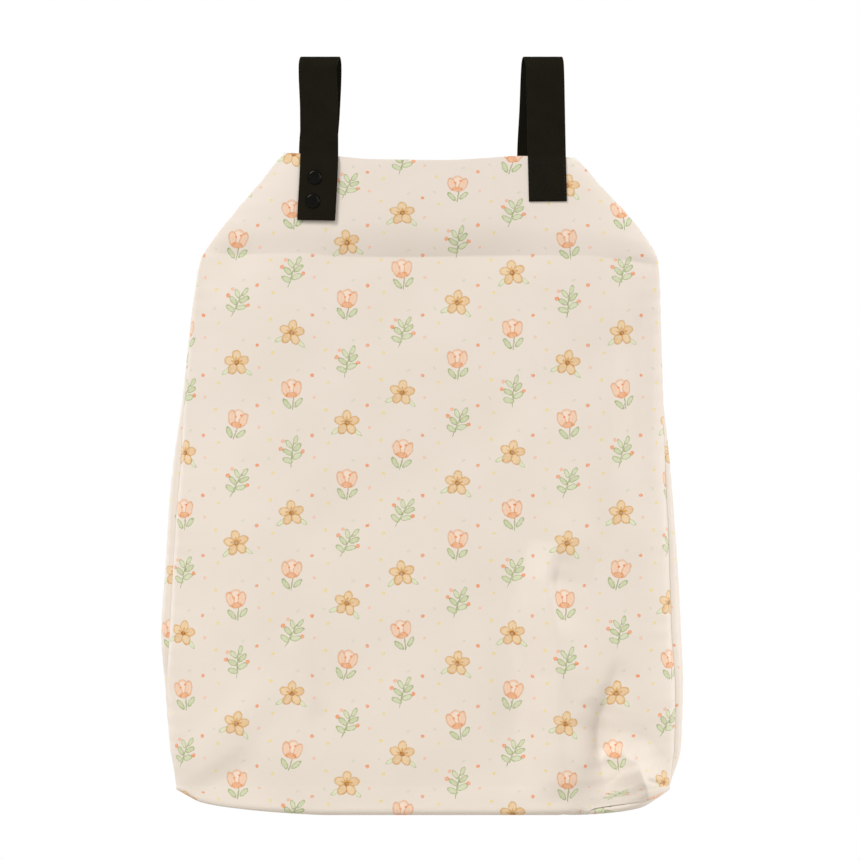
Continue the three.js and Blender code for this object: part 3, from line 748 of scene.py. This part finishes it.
# %% Find the cell and the place in it
printed, tree = new_material("printed_laminated_polyester")
uv = add_node(tree, "ShaderNodeUVMap", {"uv_map": "cloth_mm"}).outputs["UV"]
wobble = add_node(tree, "ShaderNodeTexNoise", inputs={"Vector": uv, "Scale": 0.22, "Detail": 2.0})
shift = add_node(tree, "ShaderNodeVectorMath", {"operation": "SUBTRACT"},
                 {0: wobble.outputs["Color"], 1: (0.5, 0.5, 0.5)})
wobbled = add_node(tree, "ShaderNodeVectorMath", {"operation": "MULTIPLY_ADD"},
                   {0: shift.outputs[0], 1: (WOBBLE, WOBBLE, 0.0), 2: uv})
cells = add_node(tree, "ShaderNodeVectorMath", {"operation": "DIVIDE"},
                 {0: wobbled.outputs[0], 1: (CELL_WIDTH, CELL_HEIGHT, 1.0)})
parts = add_node(tree, "ShaderNodeSeparateXYZ", inputs={0: cells.outputs[0]})
column = add_node(tree, "ShaderNodeMath", {"operation": "FLOOR"}, {0: parts.outputs["X"]})
half_drop = add_node(tree, "ShaderNodeMath", {"operation": "FLOORED_MODULO"}, {0: column.outputs[0], 1: 2.0})
dropped = add_node(tree, "ShaderNodeMath", {"operation": "MULTIPLY_ADD"},
                   {0: half_drop.outputs[0], 1: 0.5, 2: parts.outputs["Y"]})
row = add_node(tree, "ShaderNodeMath", {"operation": "FLOOR"}, {0: dropped.outputs[0]})
inside_x, inside_y = (
    add_node(tree, "ShaderNodeMath", {"operation": "SUBTRACT"}, {0: place, 1: corner.outputs[0]})
    for place, corner in ((parts.outputs["X"], column), (dropped.outputs[0], row)))
inside = add_node(tree, "ShaderNodeCombineXYZ", inputs={0: inside_x.outputs[0], 1: inside_y.outputs[0]})
centred = add_node(tree, "ShaderNodeVectorMath", {"operation": "SUBTRACT"},
                   {0: inside.outputs[0], 1: (0.5, 0.5, 0.0)})
local = add_node(tree, "ShaderNodeVectorMath", {"operation": "MULTIPLY"},
                 {0: centred.outputs[0], 1: (CELL_WIDTH, CELL_HEIGHT, 0.0)})
cell = add_node(tree, "ShaderNodeCombineXYZ", inputs={0: column.outputs[0], 1: row.outputs[0]})
chance = add_node(tree, "ShaderNodeTexWhiteNoise", {"noise_dimensions": "2D"}, {"Vector": cell.outputs[0]})
lean = add_node(tree, "ShaderNodeMapRange", inputs={
    "Value": chance.outputs["Value"], "To Min": -LEAN, "To Max": LEAN})
turned = add_node(tree, "ShaderNodeVectorRotate", {"rotation_type": "Z_AXIS"},
                  {"Vector": local.outputs[0], "Angle": lean.outputs[0]})
order = add_node(tree, "ShaderNodeMath", {"operation": "MULTIPLY_ADD"},
                 {0: column.outputs[0], 1: 2.0, 2: row.outputs[0]})
choice = add_node(tree, "ShaderNodeMath", {"operation": "FLOORED_MODULO"}, {0: order.outputs[0], 1: 3.0})
print("cells of", CELL_WIDTH, "by", CELL_HEIGHT, "mm")

# %% Lay the dabs over the ground
blotch = add_node(tree, "ShaderNodeTexNoise", inputs={"Vector": uv, "Scale": 0.012, "Detail": 3.0})
ground = add_node(tree, "ShaderNodeMix", {"data_type": "RGBA"}, {
    0: blotch.outputs["Fac"], 6: linear("#E5D9CB"), 7: linear("#EBE0D4")}).outputs[2]
ink = ground
for number, (dabs, size) in enumerate(((BLOSSOM, 1.12), (SPRIG, 1.10), (BELL, 1.16), (DOTS, 1.0))):
    where = local.outputs[0]
    if dabs is not DOTS:
        chosen = add_node(tree, "ShaderNodeMath", {"operation": "COMPARE"},
                          {0: choice.outputs[0], 1: float(number), 2: 0.5})
        away = add_node(tree, "ShaderNodeMath", {"operation": "MULTIPLY_ADD"},
                        {0: chosen.outputs[0], 1: -OUT_OF_CELL, 2: OUT_OF_CELL})
        push = add_node(tree, "ShaderNodeCombineXYZ", inputs={0: away.outputs[0]})
        where = add_node(tree, "ShaderNodeVectorMath", inputs={
            0: turned.outputs[0], 1: push.outputs[0]}).outputs[0]
    for x, y, half_length, half_width, degrees, inner, edge in dabs:
        dab = add_node(tree, "ShaderNodeMapping", {"vector_type": "TEXTURE"}, {
            "Vector": where, "Location": (x * size, y * size, 0), "Rotation": (0, 0, math.radians(degrees)),
            "Scale": (half_length * size, half_width * size, 1)})
        reach = add_node(tree, "ShaderNodeVectorMath", {"operation": "LENGTH"}, {0: dab.outputs[0]})
        wash = add_node(tree, "ShaderNodeValToRGB", inputs={0: reach.outputs["Value"]})
        stops = wash.color_ramp.elements
        stops[0].position, stops[0].color = 0.0, (*linear(inner)[:3], 0.82)
        stops[1].position, stops[1].color = 1.0, (*linear(edge)[:3], 0.0)
        middle = stops.new(0.62)
        middle.color = (*linear(inner)[:3], 0.86)
        rim = stops.new(0.86)
        rim.color = (*linear(edge)[:3], 0.95)
        ink = add_node(tree, "ShaderNodeMix", {"data_type": "RGBA"}, {
            0: wash.outputs["Alpha"], 6: ink, 7: wash.outputs["Color"]}).outputs[2]

# %% Let the pigment settle unevenly
grains = add_node(tree, "ShaderNodeTexNoise", inputs={
    "Vector": uv, "Scale": 0.34, "Detail": 3.0, "Roughness": 0.6})
strength = add_node(tree, "ShaderNodeMapRange", inputs={
    "Value": grains.outputs["Fac"], "From Min": 0.34, "From Max": 0.66, "To Min": 0.74, "To Max": 1.28})
pigment = add_node(tree, "ShaderNodeVectorMath", {"operation": "SUBTRACT"}, {0: ink, 1: ground})
settled = add_node(tree, "ShaderNodeVectorMath", {"operation": "SCALE"}, {
    0: pigment.outputs[0], "Scale": strength.outputs[0]})
ink = add_node(tree, "ShaderNodeVectorMath", {"operation": "ADD"},
               {0: ground, 1: settled.outputs[0]}).outputs[0]
print("the print has", len(tree.nodes), "nodes")

# %% [markdown]
# The knit itself is too fine to see from a few metres: its loops are about a third of a millimetre. They
# are drawn three times coarser here, as two crossed bands with a very shallow bump, which gives the soft
# broken gloss of a jersey. Laminated polyester is neither chalky nor shiny, hence the middling roughness.

# %% Knit relief and the finish
ribs = add_node(tree, "ShaderNodeTexWave", {"bands_direction": "X"}, {"Vector": uv, "Scale": 0.30})
courses = add_node(tree, "ShaderNodeTexWave", {"bands_direction": "Y"}, {"Vector": uv, "Scale": 0.36})
knit = add_node(tree, "ShaderNodeMath", {"operation": "MULTIPLY"},
                {0: ribs.outputs["Fac"], 1: courses.outputs["Fac"]})
relief = add_node(tree, "ShaderNodeBump", inputs={
    "Strength": 0.35, "Distance": 0.0001, "Height": knit.outputs[0]})
shader = add_node(tree, "ShaderNodeBsdfPrincipled", inputs={
    "Base Color": ink, "Roughness": 0.56, "IOR": 1.5, "Specular IOR Level": 0.4, "Sheen Weight": 0.06,
    "Sheen Roughness": 0.4, "Normal": relief.outputs[0]})
add_node(tree, "ShaderNodeOutputMaterial", inputs={"Surface": shader.outputs["BSDF"]})

# %% The laminate on the inside
lining, tree = new_material("white_laminate_backing")
uv = add_node(tree, "ShaderNodeUVMap", {"uv_map": "cloth_mm"}).outputs["UV"]
creases = add_node(tree, "ShaderNodeTexNoise", inputs={"Vector": uv, "Scale": 0.06, "Detail": 4.0})
film = add_node(tree, "ShaderNodeBump", inputs={
    "Strength": 0.5, "Distance": 0.0006, "Height": creases.outputs["Fac"]})
# painted shade and light: the laminate's colour is darker in the low parts of the crease bump and lighter on
# its high parts, following the relief
shade = add_node(tree, "ShaderNodeMix", {"data_type": "RGBA"}, {
    0: creases.outputs["Fac"], 6: linear("#E9E5DD"), 7: linear("#F3F0EA")})
shader = add_node(tree, "ShaderNodeBsdfPrincipled", inputs={
    "Base Color": shade.outputs[2], "Roughness": 0.32, "IOR": 1.48, "Normal": film.outputs[0]})
add_node(tree, "ShaderNodeOutputMaterial", inputs={"Surface": shader.outputs["BSDF"]})

# %% Front and back
for name, side, columns, rows, node in (
        ("front_cloth", "front", FRONT_COLUMNS, FRONT_ROWS, "front_panel"),
        ("back_cloth", "back", BACK_COLUMNS, BACK_ROWS, "back_panel")):
    piece, width, area = build_panel(name, side, columns, rows, printed)
    piece.data.materials.append(lining)
    solid = piece.modifiers.new("cloth_thickness", "SOLIDIFY")
    solid.thickness = CLOTH_THICK * MM
    solid.offset = 0
    solid.material_offset = 1
    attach(piece, "root")
    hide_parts(node)

# %% [markdown]
# ## The webbing loops
#
# The loops are flat polypropylene webbing. Each one runs from its front end up the cloth, over the rail
# and down to its end on the back. A flat grid is carried along that path, then given its thickness.
# Webbing this stiff keeps its width, so only the path bends.

# %% Loop sizes
STRAP_WIDTH = 38.0
STRAP_THICK = 1.4
STRAP_CLEARANCE = 0.3
SELVEDGE_ROUNDING = 0.45
RAIL_RADIUS = 11.0
STUDDED_OVERLAP = 69.0
SEWN_OVERLAP = 50.0
STUD_GAP = 2.7  # room for the stud posts between webbing and cloth
STAND_OFF_RISE = 12.0  # mm below the rim in which the webbing leaves the cloth for them
FREE = -RIM_Z - RAIL_RADIUS
BEND = math.pi * (RAIL_RADIUS + STRAP_THICK / 2)
LOOPS = [
    # where the middle of the webbing lies at its front end, the mouth, halfway up, at the rail's height,
    # over the rail, and then down the back
    {"name": "left_strap", "overlap": STUDDED_OVERLAP, "stand_off": STUD_GAP,
     "across": [-0.433, -0.422, -0.423, -0.4285, -0.4175, -0.4105, -0.417, -0.428, -0.429]},
    {"name": "right_strap", "overlap": SEWN_OVERLAP, "stand_off": STRAP_CLEARANCE,
     "across": [0.449, 0.445, 0.442, 0.4385, 0.4295, 0.4205, 0.414, 0.406, 0.403]},
]


def cloth_at(x, z, side):
    """The cloth's middle surface and its normal behind a place seen from the front."""
    hand = np.where(x < 0, -1.0, 1.0)
    down = (RIM_Z - z) / BODY_HEIGHT
    for _ in range(8):
        share = np.abs(x) / (side_value(hand, down, "left", "right") * HALF_WIDTH)
        down = (RIM_Z - z - rim_drop(hand * share, down)) / BODY_HEIGHT
    station = station_at(share)
    turn = hand * (station if side == "front" else 2 - station)
    girth = np.maximum(0, down) / BASE_FROM
    return cloth_point(turn, girth), directions(cloth_point, turn, girth)[0]


def strap_length(loop):
    return loop["overlap"] + FREE + BEND + FREE + SEWN_OVERLAP


def strap_point(loop, u, at, layer):
    """u is mm from the webbing's middle, at mm along it from the front end, layer mm off the cloth side."""
    u, at = np.broadcast_arrays(np.asarray(u, float), np.asarray(at, float))
    halves = [FREE / 2, FREE / 2, BEND / 2, BEND / 2, FREE / 2, FREE / 2]
    stops = np.cumsum([0, loop["overlap"], *halves, SEWN_OVERLAP])
    before, x, after = (along({"at": stops, "across": loop["across"]}, "at", "across", place) * HALF_WIDTH
                        for place in (at - 1, at, at + 1))
    # webbing that leans keeps its ends square, so its left and right edges lie a little up or down
    at = at - u * (after - before) / 2
    x = x + u
    from_bend = at - loop["overlap"] - FREE
    angle = from_bend / (RAIL_RADIUS + STRAP_THICK / 2)
    radius = RAIL_RADIUS + layer
    over = np.stack([x, -np.cos(angle) * radius, np.sin(angle) * radius - RAIL_RADIUS], axis=-1)
    in_front = from_bend <= 0
    facing = np.where(in_front, -1.0, 1.0)
    z = -RAIL_RADIUS - np.maximum(-from_bend, from_bend - BEND)
    stand_off = np.where(in_front, loop["stand_off"], STRAP_CLEARANCE)
    lifted = stand_off + (STRAP_CLEARANCE - stand_off) * smooth(-STAND_OFF_RISE, 0, z - RIM_Z)
    rests = []
    for side in ("front", "back"):
        point, normal = cloth_at(x, np.minimum(z, RIM_Z), side)
        rests.append(point[..., 1] + (CLOTH_THICK / 2 + lifted + layer) / normal[..., 1])
    rest_y = np.where(in_front, rests[0], rests[1])
    to_rail = smooth(RIM_Z, -RAIL_RADIUS, z)
    beside = np.stack([x, rest_y + (facing * radius - rest_y) * to_rail, z], axis=-1)
    on_bend = (from_bend > 0) & (from_bend < BEND)
    return np.where(on_bend[..., None], over, beside)


print("webbing cut:", [round(strap_length(loop)) for loop in LOOPS], "mm")

# %% [markdown]
# Black webbing swallows most of the light. Its colour is a warm near-black, and because the ribs shade
# each other its gloss is turned well down. The ribs run along the webbing and are about a millimetre and a
# half apart, crossed by the fine weft. Real ribs are a little closer.

# %% Webbing material
webbing, tree = new_material("black_polypropylene_webbing")
uv = add_node(tree, "ShaderNodeUVMap", {"uv_map": "webbing_mm"}).outputs["UV"]
ribs = add_node(tree, "ShaderNodeTexWave", {"bands_direction": "X"}, {
    "Vector": uv, "Scale": 0.20, "Distortion": 0.4, "Detail Scale": 0.4})
weft = add_node(tree, "ShaderNodeTexWave", {"bands_direction": "Y"}, {
    "Vector": uv, "Scale": 0.42, "Phase Offset": 1.0})
weave = add_node(tree, "ShaderNodeMath", {"operation": "MULTIPLY_ADD"},
                 {0: weft.outputs["Fac"], 1: 0.45, 2: ribs.outputs["Fac"]})
relief = add_node(tree, "ShaderNodeBump", inputs={
    "Strength": 0.8, "Distance": 0.00025, "Height": weave.outputs[0]})
dye = add_node(tree, "ShaderNodeTexNoise", inputs={"Vector": uv, "Scale": 0.05, "Detail": 4.0})
yarn = add_node(tree, "ShaderNodeMix", {"data_type": "RGBA"}, {
    0: dye.outputs["Fac"], 6: linear("#16130B"), 7: linear("#211D13")})
shader = add_node(tree, "ShaderNodeBsdfPrincipled", inputs={
    "Base Color": yarn.outputs[2], "Roughness": 0.7, "IOR": 1.5, "Specular IOR Level": 0.05,
    "Normal": relief.outputs[0]})
add_node(tree, "ShaderNodeOutputMaterial", inputs={"Surface": shader.outputs["BSDF"]})

# %% Build the loops
ACROSS_STRAP = 20
ALONG_STRAP = 150

for loop in LOOPS:
    bm = bmesh.new()
    bmesh.ops.create_grid(bm, x_segments=ACROSS_STRAP, y_segments=ALONG_STRAP, size=1)
    flat = np.array([v.co[:] for v in bm.verts])
    u = flat[:, 0] * STRAP_WIDTH / 2
    at = (1 + flat[:, 1]) / 2 * strap_length(loop)
    points = strap_point(loop, u, at, STRAP_THICK / 2)
    uv_layer = bm.loops.layers.uv.new("webbing_mm")
    for index, vertex in enumerate(bm.verts):
        vertex.index = index
        vertex.co = Vector(points[index]) * MM
    for face in bm.faces:
        for corner in face.loops:
            corner[uv_layer].uv = (u[corner.vert.index], at[corner.vert.index])
    piece = add_object(loop["name"] + "_webbing", bm, webbing)
    solid = piece.modifiers.new("webbing_thickness", "SOLIDIFY")
    solid.thickness = STRAP_THICK * MM
    solid.offset = 0
    rounded = piece.modifiers.new("selvedge", "BEVEL")
    rounded.width = SELVEDGE_ROUNDING * MM
    rounded.segments = 2
    rounded.limit_method = "ANGLE"
    rounded.angle_limit = math.radians(50)
    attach(piece, "root")
    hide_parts(loop["name"])

# %% [markdown]
# ## Box-and-cross stitching
#
# A sewn strap end is held by a box of stitches with a cross in it, because the load is then shared along
# six lines of thread. Each stitch is a small ellipsoid, three millimetres long, half sunk in the webbing.
# There are hundreds of them, so each has only a few dozen faces.

# %% Stitches
STITCH = 2.9
STITCH_STEP = 3.4
THREAD = 0.42
BOX_ASIDE = STRAP_WIDTH / 2 - 2.2
BOX_LOW, BOX_HIGH = 2.5, 36.5  # mm from the webbing's end

thread, tree = new_material("black_bonded_thread")
position = add_node(tree, "ShaderNodeTexCoord").outputs["Object"]
twist = add_node(tree, "ShaderNodeTexWave", {"bands_direction": "DIAGONAL"}, {
    "Vector": position, "Scale": 300.0})
relief = add_node(tree, "ShaderNodeBump", inputs={
    "Strength": 0.5, "Distance": 0.0001, "Height": twist.outputs["Fac"]})
shader = add_node(tree, "ShaderNodeBsdfPrincipled", inputs={
    "Base Color": linear("#0A0906"), "Roughness": 0.5, "IOR": 1.5, "Specular IOR Level": 0.22,
    "Normal": relief.outputs[0]})
add_node(tree, "ShaderNodeOutputMaterial", inputs={"Surface": shader.outputs["BSDF"]})


def sew(bm, loop, start, end):
    """Lay stitches on the webbing's outside from (u, at) to (u, at)."""
    start, end = np.array(start, float), np.array(end, float)
    length = np.linalg.norm(end - start)
    count = max(1, round(length / STITCH_STEP))
    middles = start + (end - start) * ((np.arange(count) + 0.5) / count)[:, None]
    ahead = middles + (end - start) / length
    aside = middles + np.array([-(end - start)[1], (end - start)[0]]) / length
    places = [strap_point(loop, spots[:, 0], spots[:, 1], STRAP_THICK) for spots in (middles, ahead, aside)]
    for here, next_to, beside in zip(*places):
        forward = Vector(next_to - here).normalized()
        normal = forward.cross(Vector(beside - here)).normalized()
        axes = Matrix((normal, normal.cross(forward), forward)).transposed().to_4x4()
        sized = Matrix.Diagonal((THREAD * MM, THREAD * MM, STITCH / 2 * MM, 1))
        placed = Matrix.Translation(Vector(here) * MM) @ axes @ sized
        bmesh.ops.create_uvsphere(bm, u_segments=8, v_segments=5, radius=1, matrix=placed)


def box_and_cross(name, loop, low, high):
    bm = bmesh.new()
    corners = [(-BOX_ASIDE, low), (BOX_ASIDE, low), (BOX_ASIDE, high), (-BOX_ASIDE, high)]
    for a, b in zip(corners, corners[1:] + corners[:1]):
        sew(bm, loop, a, b)
    sew(bm, loop, corners[0], corners[2])
    sew(bm, loop, corners[1], corners[3])
    piece = add_object(name, bm, thread)
    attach(piece, "root")


left_loop, right_loop = LOOPS
box_and_cross("right_front_stitches", right_loop, BOX_LOW, BOX_HIGH)
for name, loop in (("right_back_stitches", right_loop), ("left_back_stitches", left_loop)):
    box_and_cross(name, loop, strap_length(loop) - BOX_HIGH, strap_length(loop) - BOX_LOW)

# %% [markdown]
# ## The press studs
#
# A resin stud's cap is a shallow disc with a narrow rolled rim, made by spinning a short profile round its
# axis. Moulded black resin is smooth, so all that the eye gets of it is a thin highlight on that rim.

# %% Stud caps
CAP_PROFILE = [
    # mm from the axis, mm above the webbing
    (0.0, 2.0), (3.2, 2.02), (4.6, 2.12), (5.2, 2.16), (5.7, 2.08), (6.2, 1.86), (6.65, 1.52), (7.0, 1.1),
    (7.25, 0.62), (7.35, 0.2), (7.2, 0.0), (0.0, 0.0),
]
CAP_STEPS = 48
CAP_GAP = 0.15
STUDS = [{"name": "upper", "x": -114.9, "z": -120.0}, {"name": "lower", "x": -117.0, "z": -143.8}]

resin, tree = new_material("black_stud_resin")
position = add_node(tree, "ShaderNodeTexCoord").outputs["Object"]
scuffs = add_node(tree, "ShaderNodeTexNoise", inputs={"Vector": position, "Scale": 420.0, "Detail": 3.0})
gloss = add_node(tree, "ShaderNodeMapRange", inputs={
    "Value": scuffs.outputs["Fac"], "To Min": 0.14, "To Max": 0.24})
shader = add_node(tree, "ShaderNodeBsdfPrincipled", inputs={
    "Base Color": linear("#0C0B07"), "Roughness": gloss.outputs[0], "IOR": 1.5, "Specular IOR Level": 0.16})
add_node(tree, "ShaderNodeOutputMaterial", inputs={"Surface": shader.outputs["BSDF"]})

for stud in STUDS:
    bm = bmesh.new()
    profile = [bm.verts.new((radius * MM, 0, height * MM)) for radius, height in CAP_PROFILE]
    edges = [bm.edges.new(pair) for pair in zip(profile, profile[1:])]
    bmesh.ops.spin(bm, geom=profile + edges, cent=(0, 0, 0), axis=(0, 0, 1), angle=2 * math.pi,
                   steps=CAP_STEPS, use_merge=True)
    bmesh.ops.remove_doubles(bm, verts=bm.verts, dist=1e-6)
    bmesh.ops.recalc_face_normals(bm, faces=bm.faces)
    at = left_loop["overlap"] + (stud["z"] - RIM_Z)
    u = stud["x"] - strap_point(left_loop, 0, at, STRAP_THICK)[0]
    here, up, aside = (strap_point(left_loop, *p, STRAP_THICK) for p in ((u, at), (u, at + 1), (u + 1, at)))
    normal = Vector(aside - here).cross(Vector(up - here)).normalized()
    turn_to = Vector((0, 0, 1)).rotation_difference(normal).to_matrix().to_4x4()
    bmesh.ops.transform(bm, verts=bm.verts, matrix=Matrix.Translation(
        (Vector(here) + normal * CAP_GAP) * MM) @ turn_to)
    cap = add_object("stud_cap_" + stud["name"], bm, resin)
    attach(cap, "root")
    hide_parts("snap_cap_" + stud["name"])
    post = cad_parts["snap_post_" + stud["name"]]
    post.data.materials.clear()
    post.data.materials.append(resin)
